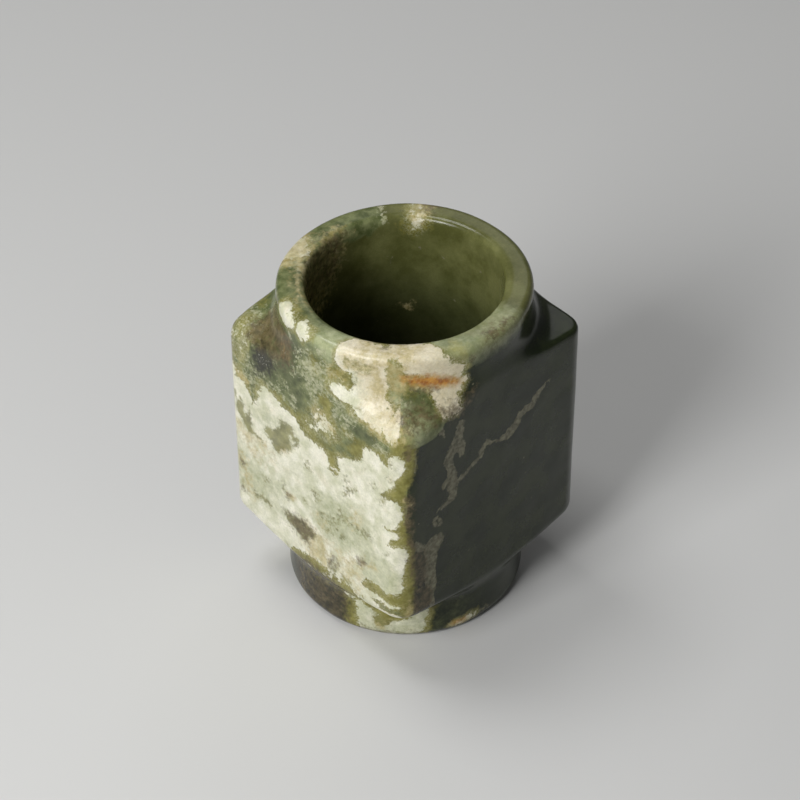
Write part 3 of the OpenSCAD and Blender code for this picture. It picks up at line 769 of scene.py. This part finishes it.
def mark_rim(stone):
    """Patches of crust across the rim, in directions and radii"""
    rim = stone.rim
    stone.add("green", rim.area(*((a, 34) for a in range(60, 260, 10)), *((a, 22) for a in range(250, 50, -10))))
    stone.add("milk", rim.path((40, 33, 0.8), (41, 30.5, 1.0), (39, 28.5, 1.3), (39, 26.6, 1.3), (42, 25, 0.8)), 1.6)
    stone.add("chalk", rim.path((40, 30, 0.3), (39, 28, 0.7), (40, 26.4, 0.6)), 2.0, -0.1)
    stone.add("tan", rim.path((37, 31, 1.6), (37, 28, 1.8), (40, 26, 1.2)), 2.0, 0.3)
    stone.add("brown", rim.path((33, 31, 0.6), (34, 28.6, 0.6)), 2.4, 0.3)
    stone.add("milk", rim.path((60, 32, 0.15), (59, 28, 0.2), (58.4, 25, 0.3)), 1.2)
    tan_patch = rim.area(
        (99, 31.4), (103, 33), (122, 33), (126, 31.8), (128.5, 30), (127, 28), (129.5, 27), (132, 26), (135, 25.2),
        (132, 24.6), (127, 25.2), (124, 26.4), (121, 27.2), (119, 26), (121, 25), (117, 24.8), (114, 26.4), (112, 28.6),
        (108, 29.4), (104, 28), (102, 29))
    stone.add("milk", tan_patch, 1.0)
    stone.add("tan", tan_patch, 2.0, 0.3)
    stone.add("specks", tan_patch, 1.0, 0.8)
    stone.add("brown", rim.path((112, 24.8, 0.5), (122, 24.6, 0.6), (134, 24.6, 0.5)), 1.6, 0.5)
    stone.add("chalk", rim.area(
        (152, 34), (152.4, 31.9), (153.7, 30.5), (156.6, 29.8), (161, 30.4), (165.9, 31), (168.6, 31.9), (168.8, 34)), 0.9, 0.8)
    stone.add("chalk", rim.area(
        (170.8, 34), (170.6, 32), (169.6, 31), (170.4, 29.9), (173.2, 29.7), (176, 30.4), (178.2, 31.2), (179.2, 34)), 0.9, 0.8)
    stone.add("olive", rim.path((162, 28.8, 0.7), (164, 31, 0.8)), 1.6)
    # Painted sheen: pale sage across the rim's top stands in for the broad highlight there
    stone.add("sage", rim.area((172, 34), (176, 30), (184, 27), (190, 25), (197, 24), (206, 24), (206, 34)), 1.6)
    stone.add("cream", rim.area(*((a, 34) for a in range(196, 250, 6)), *((a, 22) for a in range(248, 190, -6))), 2.0)
    stone.add("chalk", rim.area(
        (196, 34), (196, 31), (199, 29.4), (201, 28.4), (203, 27.4), (204, 26.4), (205, 25), (205, 23),
        (207, 23), (208.4, 25.5), (211, 27.2), (214, 28.2), (218, 28), (219.4, 27), (218, 25.8), (217.4, 23),
        (236.6, 23), (237, 28), (241, 29.4), (243.6, 30.4), (243.6, 34)), 0.9)
    stone.add("tan", rim.area((205, 32), (205, 26), (211, 27.4), (216, 28.4), (217, 32)), 2.4, 0.1)
    stone.add("brown", rim.path((217, 28, 0.3), (219, 25, 0.5)), 1.6, 0.4)
    stone.add("olive", rim.area((204, 23), (207, 26), (212, 29), (219, 29), (220, 26), (220, 23)), 1.2)
    stone.add("tan", rim.area((217, 30), (219, 28), (224, 25), (232, 25), (233, 29), (226, 32)), 2.6, 0.3)
    stone.add("sage", rim.area(*((a, 33) for a in range(240, 300, 10)), *((a, 24) for a in range(290, 236, -10))), 2.5, 0.2)
    stone.add("brown", rim.path((268, 30.8, 0.7), (284, 30.4, 0.7)), 2.0, 0.2)
    stone.add("brown", rim.path((205, 24.6, 0.2), (212, 25.4, 0.3)), 1.4, 0.2)


def mark_foot(stone):
    """Crust and stains round the collar that the cong stands on"""
    foot = stone.foot
    stone.add("olive", foot.area((196, 13), (206, 12.5), (240, 12), (237, 0), (197, -2), (195, 6)), 1.6)
    stone.add("chalk", foot.area(
        (202, 11.2), (207, 10.2), (211, 8.8), (213, 8), (211, 7), (210.6, 5.4), (212, 4.2), (215, 3.6), (218.6, 4.8),
        (221, 6), (224, 6.4), (228, 7), (234, 12), (238, 12), (237, 8), (236.4, 6.4), (235.4, 5), (236.2, 4),
        (235.4, 3), (233, 2), (231, -2), (205, -2), (203.6, 3), (202.6, 7)), 0.8)
    stone.add("chalk", foot.path((197, 13, 0.3), (200, 12.2, 0.4), (205, 11, 0.4)), 0.9)
    stone.add("stain", foot.area(
        (210.6, 8.4), (214, 7.9), (217, 6.6), (219.4, 6), (218, 4.8), (215.6, 3.9), (213.4, 4.2), (211, 6)), 1.4)
    stone.add("tan", foot.area((212, 6), (219, 5.8), (216, 3.4), (213, 3.6)), 1.8, 0.8)
    stone.add("brown", foot.area((160, 18), (194, 17), (197, 8), (196, 1), (160, 1)), 2.6, 0.5)
    stone.add("murk", foot.area((150, 16), (193, 15), (195, 8), (194, 1), (150, 1)), 3.0, -0.1)
    stone.add("wash", foot.area((200, 14), (240, 14), (240, -2), (200, -2)), 2.0, 0.4)
    stone.add("brown", foot.path((204, 0.2, 0.9), (218, 0.2, 1.4), (234, 0.4, 0.8)), 1.6, 0.1)
    stone.add("specks", foot.area((170, 16), (200, 15), (197, 9), (180, 10)), 1.5, 0.4)
    stone.add("deep", foot.area((237.5, 12), (238, 2), (252, 1), (256, 10)), 3.5, -0.2)
    stone.add("stain", foot.path((204, 0.6, 0.8), (218, 0.4, 1.2), (232, 0.6, 0.6)), 2.4, -0.1)
    stone.add("chalk", foot.area(
        (249.6, 2.2), (252, 3), (256, 3.6), (260, 4), (263, 3.4), (262, 2.6), (258, 2.2), (254, 1.4)), 0.9)
    stone.add("tan", foot.path((250, 2.2, 0.8), (258, 3, 0.8)), 1.4, 1.0)
    stone.add("rust", foot.path((251, 3, 0.2), (257, 3.6, 0.3)), 1.6, 0.1)
    stone.add("vein", foot.path((265, 3, 0.5), (269, 3.6, 0.6), (271, 3, 0.3)), 1.2)
    stone.add("vein", foot.path((239.6, 15, 0.5), (240.6, 12, 0.4)), 1.0)


def mark_bore(stone):
    """Few specks and stains down the bore"""
    bore = stone.bore
    for across, up, size in ((24, 84.4, 0.45), (22, 83.6, 0.3), (55, 83.2, 0.7), (57, 81, 0.4), (41, 80, 0.5), (46, 75.4, 0.4),
                             (17, 71.4, 0.5), (52, 70, 0.25), (75, 86.2, 0.4), (46, 91.6, 0.35), (38, 86.5, 0.3),
                             (8, 84, 0.3), (-4, 86, 0.3), (63, 62, 0.5), (30, 58, 0.4), (110, 50, 0.5), (200, 60, 0.4)):
        stone.add("vein", bore.path((across, up, size)), 1.4, 0.6)
    stone.add("tan", bore.path((42, 68, 0.4), (45, 67, 0.7), (48, 67.6, 0.4)), 1.2, 0.6)
    stone.add("tan", bore.area((86, 97), (160, 97), (150, 80), (126, 72), (108, 76), (92, 87)), 4.0, -0.1)
    stone.add("brown", bore.area((88, 95), (130, 95), (126, 84), (104, 84), (92, 88)), 3.0, 0.1)
    stone.add("chalk", bore.path((38, 95.5, 0.8), (41, 93.5, 0.5)), 1.5)


def mark_far_sides(stone):
    """Sides that can't be seen from the front: crust wraps the left corner, and thin veins cross the rest"""
    side = stone.far_left
    stone.clear("chalk", side.area((-29.5, 92), (40, 92), (40, 12), (-29.5, 12)))
    stone.add("green", side.area((-40, 92), (-8, 92), (-14, 80), (-20, 64), (-24, 56), (-40, 50)), 2.0)
    stone.add("olive", side.area(
        (-40, 70), (-24, 70), (-22, 64), (-25, 58), (-22, 50), (-20, 42), (-23, 34), (-21, 26), (-24, 12), (-40, 12)), 1.4)
    stone.add("chalk", side.area(
        (-40, 66), (-29, 66), (-26, 63), (-27, 59), (-28.6, 56), (-25.6, 52), (-23.6, 48), (-24.4, 43),
        (-26.6, 39), (-25, 34), (-23, 31), (-24.4, 27), (-27, 24), (-25.6, 20), (-26, 12), (-40, 12)))
    stone.add("chalk", side.area((-40, 74.6), (-31, 75), (-29.6, 78), (-30.4, 82), (-29, 92), (-40, 92)), 2.2, -0.6)
    stone.add("milk", side.area(
        (-40, 66), (-26, 68), (-23, 72), (-25.4, 76), (-22.6, 80), (-25, 84), (-24, 90), (-40, 92)), 2.6, 0.1)
    stone.add("olive", side.path((-25, 68, 1.2), (-22, 74, 1.6), (-21, 82, 1.4)), 2.0, 0.6)
    for stops in (((-8, 84, 0.3), (-5, 77, 0.8), (-6.4, 72, 1.2), (-3, 66, 0.9), (-4, 60, 0.4)),
                  ((-6, 72, 0.9), (0, 69, 0.5), (5, 64, 0.9), (9, 62.6, 0.6), (14, 57, 0.3)),
                  ((12, 40, 0.3), (15, 34, 0.9), (14, 29, 1.2), (17, 23, 0.7), (18, 16, 0.4)),
                  ((-16, 52, 0.3), (-13, 48, 0.7), (-14, 44, 0.3))):
        stone.add("vein", side.path(*stops), 0.9)
    side = stone.far_right
    for stops in (((20, 80, 0.3), (17, 74, 0.9), (18, 69, 0.7), (13, 63, 1.2), (12, 57, 0.5)),
                  ((13, 63, 0.8), (6, 61, 0.5), (1, 56, 0.8), (-4, 54.6, 0.3)),
                  ((-24, 44, 0.3), (-20, 40, 0.8), (-19, 33, 1.3), (-21, 27, 0.8), (-20, 20, 0.5)),
                  ((-12, 74, 0.2), (-14, 68, 0.5), (-11, 64, 0.2))):
        stone.add("vein", side.path(*stops), 0.9)
    foot = stone.foot
    stone.add("vein", foot.path((60, 14, 0.4), (64, 9, 0.8), (61, 4, 0.5), (66, 0, 0.4)), 1.0)
    stone.add("chalk", foot.area((120, 16), (140, 16), (137, 9), (141, 4), (134, -2), (124, -2), (127, 6), (122, 10)), 1.2)
    wall = stone.collar
    stone.add("vein", wall.path((38, 96, 0.7), (41, 92, 1.0), (36, 88, 0.7), (39, 84, 0.4)), 1.2)
    stone.add("chalk", wall.area((101, 100), (124, 100), (121, 95), (117, 92.6), (109, 93.4), (104, 96)), 1.2)
    stone.add("tan", wall.area((101, 100), (124, 100), (121, 95), (117, 92.6), (109, 93.4), (104, 96)), 1.6, 1.0)


def mark_stone(points):
    """All mineral zones, and the painted glow at the rim and painted shade down the bore, as one value per point and
    zone
    """
    stone = Stone(points)
    mark_upper_collar(stone)
    mark_rim(stone)
    mark_shoulders(stone)
    mark_left_crust(stone)
    mark_left_top(stone)
    mark_left_stains(stone)
    mark_front_edge(stone)
    mark_right_side(stone)
    mark_foot(stone)
    mark_bore(stone)
    mark_far_sides(stone)
    return {**stone.fields, "thin": stone.thin}


# Finish: helpers that build shader nodes
def put(tree, kind, inputs=None, **settings):
    """Adds a node, sets its options, and sets or links its inputs"""
    made = tree.nodes.new("ShaderNode" + kind)
    for name, value in settings.items():
        setattr(made, name, value)
    for socket, value in (inputs or {}).items():
        if isinstance(value, bpy.types.NodeSocket):
            tree.links.new(value, made.inputs[socket])
        else:
            made.inputs[socket].default_value = value
    return made


def reckon(tree, operation, *values):
    """Result of a Math node"""
    return put(tree, "Math", dict(enumerate(values)), operation=operation).outputs[0]


def over(tree, cover, below, above, mode="MIX"):
    """Colour with another laid over it where cover is 1"""
    made = put(tree, "Mix", {0: cover, 6: below, 7: above}, data_type="RGBA", blend_type=mode)
    return made.outputs[2]


def shader_group(name, inputs, output):
    """Empty node group with named inputs and one named output"""
    group = bpy.data.node_groups.new(name, "ShaderNodeTree")
    for title, kind, value in inputs:
        socket = group.interface.new_socket(title, in_out="INPUT", socket_type="NodeSocket" + kind)
        if value is not None:
            socket.default_value = value
    group.interface.new_socket(output[0], in_out="OUTPUT", socket_type="NodeSocket" + output[1])
    return group, group.nodes.new("NodeGroupInput").outputs, group.nodes.new("NodeGroupOutput").inputs


def seeded_noise(group, given, scale, detail, roughness):
    """Noise over the place given to a group, different for each seed"""
    sockets = {"Vector": given["Place"], "W": given["Seed"], "Scale": scale}
    sockets.update({"Detail": detail, "Roughness": roughness})
    return put(group, "TexNoise", sockets, noise_dimensions="4D").outputs["Fac"]


def swing_of(group, noise, amount):
    """Noise as a swing to both sides of zero, times an amount"""
    return reckon(group, "MULTIPLY", reckon(group, "SUBTRACT", noise, 0.5), amount)


def ragged_zone_group():
    """Cover of a mineral zone, whose edge wanders and crumbles by about so many millimetres"""
    group, given, result = shader_group("ragged_zone", (
        ("Place", "Vector", None), ("Depth", "Float", 0.0), ("Wander", "Float", 0.5),
        ("Grain", "Float", 0.5), ("Edge", "Float", 0.2), ("Seed", "Float", 0.0)), ("Cover", "Float"))
    swing = swing_of(group, seeded_noise(group, given, given["Grain"], 8.0, 0.68), given["Wander"])
    depth = reckon(group, "MULTIPLY_ADD", swing, 8.0, given["Depth"])
    low = reckon(group, "MULTIPLY", given["Edge"], -1.0)
    cover = put(group, "MapRange", {0: depth, 1: low, 2: given["Edge"]}, interpolation_type="SMOOTHSTEP")
    group.links.new(cover.outputs[0], result["Cover"])
    return group


def speck_group():
    """Scattered crystals, more of them where amount is higher"""
    group, given, result = shader_group("speck", (
        ("Place", "Vector", None), ("Size", "Float", 0.5), ("Amount", "Float", 0.3), ("Seed", "Float", 0.0)),
        ("Cover", "Float"))
    scale = reckon(group, "DIVIDE", 1.0, given["Size"])
    noise = seeded_noise(group, given, scale, 3.0, 0.65)
    least = reckon(group, "MULTIPLY_ADD", given["Amount"], -0.3, 0.8)
    most = reckon(group, "ADD", least, 0.05)
    cover = put(group, "MapRange", {0: noise, 1: least, 2: most}, interpolation_type="SMOOTHSTEP")
    group.links.new(cover.outputs[0], result["Cover"])
    return group


def cloud_group():
    """Colour that drifts between two tones"""
    group, given, result = shader_group("cloud", (
        ("Place", "Vector", None), ("Scale", "Float", 0.2), ("Tone A", "Color", (0, 0, 0, 1)),
        ("Tone B", "Color", (1, 1, 1, 1)), ("Contrast", "Float", 1.0),
        ("Seed", "Float", 0.0)), ("Color", "Color"))
    swing = swing_of(group, seeded_noise(group, given, given["Scale"], 5.0, 0.55), given["Contrast"])
    share = put(group, "Math", {0: swing, 1: 2.2, 2: 0.5}, operation="MULTIPLY_ADD", use_clamp=True)
    colour = over(group, share.outputs[0], given["Tone A"], given["Tone B"])
    group.links.new(colour, result["Color"])
    return group


# Tones of the stone, as linear colours
DARK_STONE = ((0.012, 0.018, 0.006, 1), (0.028, 0.036, 0.013, 1))
# Lighter tone, painted where light glows through the thin rim and near the bore's mouth
PAINTED_GLOW_TONES = ((0.088, 0.092, 0.026, 1), (0.155, 0.160, 0.058, 1))
GREEN_STONE = ((0.078, 0.096, 0.032, 1), (0.190, 0.212, 0.092, 1))
OLIVE_STONE = ((0.150, 0.138, 0.022, 1), (0.290, 0.268, 0.075, 1))
MILK_TONES = ((0.240, 0.255, 0.125, 1), (0.520, 0.515, 0.350, 1))
VEIN_TONES = ((0.080, 0.077, 0.042, 1), (0.220, 0.208, 0.130, 1))
# Crust tones, also used for the painted highlight in the collar's hollow
CHALK_AND_HIGHLIGHT_TONES = ((0.560, 0.565, 0.400, 1), (0.800, 0.780, 0.650, 1))
CHALK_BLUSH = (0.700, 0.620, 0.470, 1)
# Wash tones, used for sage blotches in the crust and for painted shade over its lower part
WASH_AND_SHADE_TONES = ((0.320, 0.345, 0.190, 1), (0.520, 0.530, 0.360, 1))
# Sage tone, brightened to serve also as painted sheen on the rim and the collar's lip
SAGE_AND_SHEEN_TONES = ((0.310, 0.345, 0.180, 1), (0.510, 0.535, 0.325, 1))
CREAM_TONES = ((0.600, 0.510, 0.330, 1), (0.740, 0.665, 0.490, 1))
STAIN_TONES = ((0.115, 0.113, 0.026, 1), (0.250, 0.240, 0.088, 1))
TAN_TONES = ((0.340, 0.275, 0.095, 1), (0.570, 0.490, 0.260, 1))
BROWN_TONES = ((0.062, 0.047, 0.020, 1), (0.160, 0.122, 0.062, 1))
# Dark grey-green stone tones, also used for painted shade under the left side's lower edge
DEEP_AND_SHADE_TONES = ((0.042, 0.052, 0.020, 1), (0.096, 0.108, 0.046, 1))
MURK_TONES = ((0.012, 0.012, 0.008, 1), (0.040, 0.037, 0.026, 1))
RUST_TONES = ((0.300, 0.085, 0.006, 1), (0.620, 0.300, 0.040, 1))
SPECK_TONE = (0.560, 0.560, 0.460, 1)

# Zones from the deepest to the topmost: wander and edge in millimetres, grain and cloud per
# millimetre, tones, and how much of what lies below each hides
LAYERS = (
    ("vein", 0.40, 0.25, 0.9, 0.8, VEIN_TONES, 0.95),
    ("green", 0.60, 0.80, 0.3, 0.40, GREEN_STONE, 1.0),
    ("deep", 0.70, 1.10, 0.5, 0.5, DEEP_AND_SHADE_TONES, 0.8),
    ("olive", 0.70, 1.00, 0.5, 0.40, OLIVE_STONE, 0.9),
    ("sage", 0.40, 1.60, 0.3, 0.40, SAGE_AND_SHEEN_TONES, 0.8),
    ("milk", 1.20, 0.60, 1.1, 0.8, MILK_TONES, 0.75),
    ("chalk", 0.75, 0.30, 0.8, 0.3, CHALK_AND_HIGHLIGHT_TONES, 1.0),
    ("cream", 0.60, 1.60, 0.4, 0.5, CREAM_TONES, 0.75),
    ("wash", 0.70, 1.20, 0.5, 0.6, WASH_AND_SHADE_TONES, 0.75),
    ("tan", 0.80, 0.90, 0.6, 0.6, TAN_TONES, 0.75),
    ("stain", 0.80, 0.80, 0.9, 0.35, STAIN_TONES, 0.85),
    ("brown", 0.80, 0.90, 0.8, 0.7, BROWN_TONES, 0.85),
    ("murk", 0.90, 1.20, 0.8, 0.8, MURK_TONES, 0.9),
    ("rust", 0.28, 0.80, 0.7, 0.5, RUST_TONES, 0.90),
)


def polished_nephrite():
    """Dark green nephrite with chalky, olive and brown zones, polished all over"""
    material = bpy.data.materials.new("polished_nephrite")
    material.use_nodes = True
    tree = material.node_tree
    zone, speck, cloud = ragged_zone_group(), speck_group(), cloud_group()
    coordinates = put(tree, "TexCoord").outputs["Object"]
    place = put(tree, "VectorMath", {0: coordinates, 3: 1 / MM}, operation="SCALE").outputs[0]

    def field(name):
        return put(tree, "Attribute", attribute_name=name).outputs["Fac"]

    def group(kind, **inputs):
        made = tree.nodes.new("ShaderNodeGroup")
        made.node_tree = kind
        tree.links.new(place, made.inputs["Place"])
        for title, value in inputs.items():
            socket = made.inputs[title.replace("_", " ")]
            if isinstance(value, bpy.types.NodeSocket):
                tree.links.new(value, socket)
            else:
                socket.default_value = value
        return made.outputs[0]

    def tones(pair, scale, seed, contrast=1.8):
        return group(cloud, Scale=scale, Tone_A=pair[0], Tone_B=pair[1], Contrast=contrast, Seed=seed)

    def noise(scale, detail, roughness=0.5):
        sockets = {"Vector": place, "Scale": scale, "Detail": detail, "Roughness": roughness}
        return put(tree, "TexNoise", sockets).outputs["Fac"]

    def ramp(value, low, high, start=0.0, end=1.0):
        return put(tree, "MapRange", {0: value, 1: low, 2: high, 3: start, 4: end}).outputs[0]

    fine = noise(2.0, 4.0, 0.65)
    grain = ramp(fine, 0.25, 0.75, 0.84, 1.12)
    grain = put(tree, "CombineColor", {0: grain, 1: grain, 2: grain}).outputs[0]
    # Painted light: the lighter tone glows at the rim and gives way to painted shade deeper down the bore
    colour = over(tree, field("thin"), tones(DARK_STONE, 0.12, 31.0), tones(PAINTED_GLOW_TONES, 0.15, 32.0))
    covers = {}
    for seed, (name, wander, edge, grain_scale, cloud_scale, pair, hiding) in enumerate(LAYERS):
        depth = field(name)
        cover = group(zone, Depth=depth, Wander=wander, Grain=grain_scale, Edge=edge, Seed=seed + 1.0)
        if name == "chalk":
            # Olive stone that shows all along the crust's border
            border = reckon(tree, "ADD", depth, 1.4)
            border = group(zone, Depth=border, Wander=0.9, Grain=0.5, Edge=1.1, Seed=63.0)
            colour = over(tree, reckon(tree, "MULTIPLY", border, 0.7), colour, tones(OLIVE_STONE, 0.4, 64.0))
            # Crust that thins out over the translucent stone beside it
            thinned = ramp(depth, -2.0, 0.4, 0.0, 0.5)
            thinned = reckon(tree, "MULTIPLY", thinned, ramp(fine, 0.45, 0.65))
            cover = reckon(tree, "MAXIMUM", cover, thinned)
        covers[name] = cover
        share = cover if hiding == 1.0 else reckon(tree, "MULTIPLY", cover, hiding)
        if name in ("cream", "wash"):
            share = reckon(tree, "MULTIPLY", share, covers["chalk"])
        tone = tones(pair, cloud_scale, seed + 41.0)
        if name == "chalk":
            blush = group(zone, Depth=-0.9, Wander=1.0, Grain=0.15, Edge=0.8, Seed=60.0)
            tone = over(tree, reckon(tree, "MULTIPLY", blush, 0.45), tone, CHALK_BLUSH)
            sage = group(zone, Depth=-0.7, Wander=1.0, Grain=0.18, Edge=0.9, Seed=61.0)
            tone = over(tree, reckon(tree, "MULTIPLY", sage, 0.55), tone, WASH_AND_SHADE_TONES[1])
            thin_spots = group(zone, Depth=-1.3, Wander=1.0, Grain=0.6, Edge=0.7, Seed=62.0)
            tone = over(tree, reckon(tree, "MULTIPLY", thin_spots, 0.5), tone, STAIN_TONES[1])
        colour = over(tree, share, colour, tone)
    colour = over(tree, 1.0, colour, grain, "MULTIPLY")
    specks = field("specks")
    crystals = group(speck, Size=0.55, Amount=ramp(specks, -1.0, 2.5), Seed=71.0)
    crystals = reckon(tree, "MULTIPLY", crystals, ramp(specks, -1.0, 0.0))
    colour = over(tree, reckon(tree, "MULTIPLY", crystals, 0.65), colour, SPECK_TONE)
    flecks = group(speck, Size=0.6, Amount=0.14, Seed=72.0)
    colour = over(tree, reckon(tree, "MULTIPLY", flecks, 0.5), colour, VEIN_TONES[1])

    crust = covers["chalk"]
    pits, waves = noise(1.4, 4.0, 0.6), noise(0.16, 1.0)
    relief = reckon(tree, "MULTIPLY", pits, reckon(tree, "MULTIPLY_ADD", crust, 0.14, 0.02))
    relief = reckon(tree, "MULTIPLY_ADD", waves, 0.5, relief)
    relief = reckon(tree, "MULTIPLY_ADD", crystals, 0.03, relief)
    bump = put(tree, "Bump", {"Strength": 0.35, "Distance": MM, "Height": relief})
    roughness = reckon(tree, "MULTIPLY_ADD", crust, 0.09, 0.16)
    roughness = reckon(tree, "MULTIPLY_ADD", fine, 0.10, roughness)
    shader = tree.nodes["Principled BSDF"]
    tree.links.new(colour, shader.inputs["Base Color"])
    tree.links.new(roughness, shader.inputs["Roughness"])
    tree.links.new(bump.outputs["Normal"], shader.inputs["Normal"])
    shader.inputs["IOR"].default_value = 1.5
    shader.inputs["Specular IOR Level"].default_value = 0.32
    shader.inputs["Subsurface Weight"].default_value = 0.15
    shader.inputs["Subsurface Radius"].default_value = (1.0, 0.9, 0.5)
    shader.inputs["Subsurface Scale"].default_value = 0.0015
    return material


add_camera()
points = stone_points()
stone = bpy.data.objects.new("worked_stone", stone_mesh("worked_stone", points))
for zone_name, values in mark_stone(points).items():
    layer = stone.data.attributes.new(zone_name, "FLOAT", "POINT")
    layer.data.foreach_set("value", values.astype(np.float32))
bpy.context.scene.collection.objects.link(stone)
stone.data.materials.append(polished_nephrite())
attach(stone, "root")
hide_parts("cong_body")
add_stage()
add_lights()
bpy.context.scene.view_settings.view_transform = "Standard"
